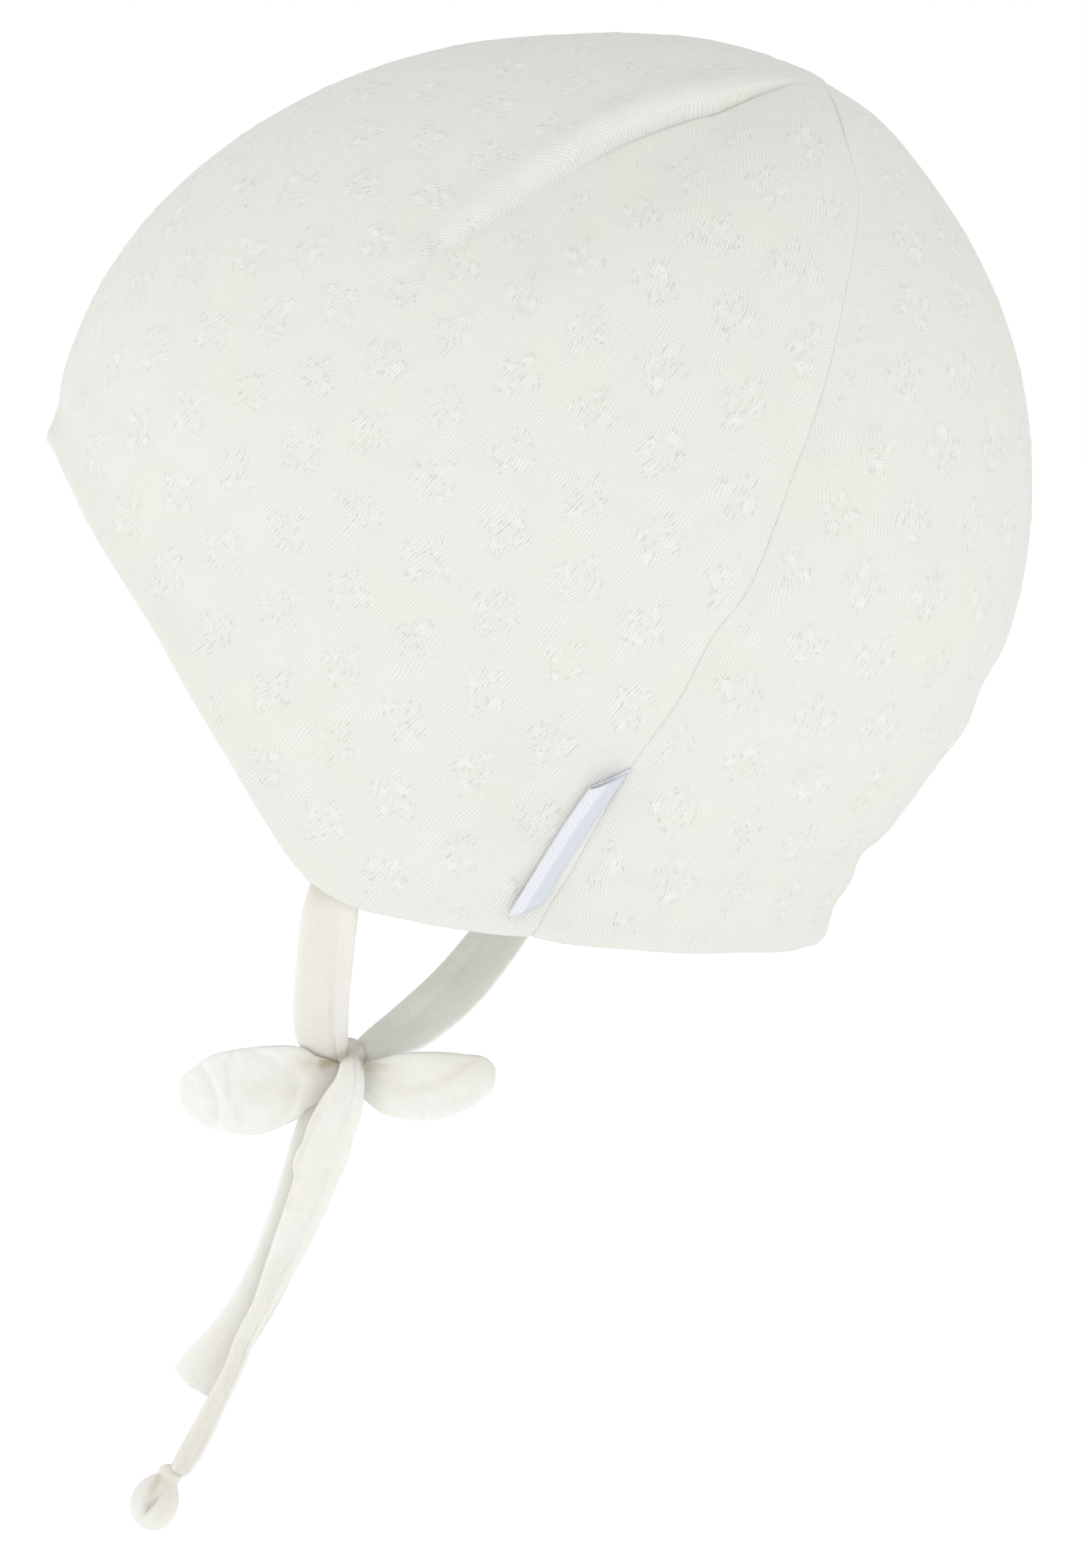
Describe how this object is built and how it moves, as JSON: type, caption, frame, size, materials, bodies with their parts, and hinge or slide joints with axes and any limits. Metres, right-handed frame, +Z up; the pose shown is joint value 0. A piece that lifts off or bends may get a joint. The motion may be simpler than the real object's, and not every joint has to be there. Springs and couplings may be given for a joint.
{
  "type": "baby beanie",
  "caption": "Baby's jersey beanie with ear flaps, a pointed crown dart on each side and two flat ties joined in a bow under the chin.",
  "frame": {"origin": "inner face of the crown, straight above the middle of the head, where the hat bears on the head", "axes": "+Z up, -Y towards the face, +X towards the wearer's left"},
  "size_m": [0.125, 0.17, 0.2562],
  "materials": {
    "jersey": "matt off-white cotton jersey with small puffed dots",
    "label_ribbon": "white satin ribbon, unprinted"
  },
  "bodies": {
    "root": {"front_panel": "jersey", "back_panel": "jersey", "label_tab": "label_ribbon", "tie_left": "jersey", "tie_right": "jersey", "bow_knot": "jersey", "bow_loop_front": "jersey", "bow_loop_back": "jersey", "tail_long": "jersey", "tail_short": "jersey", "tail_end_knot": "jersey"}
  },
  "joints": []
}
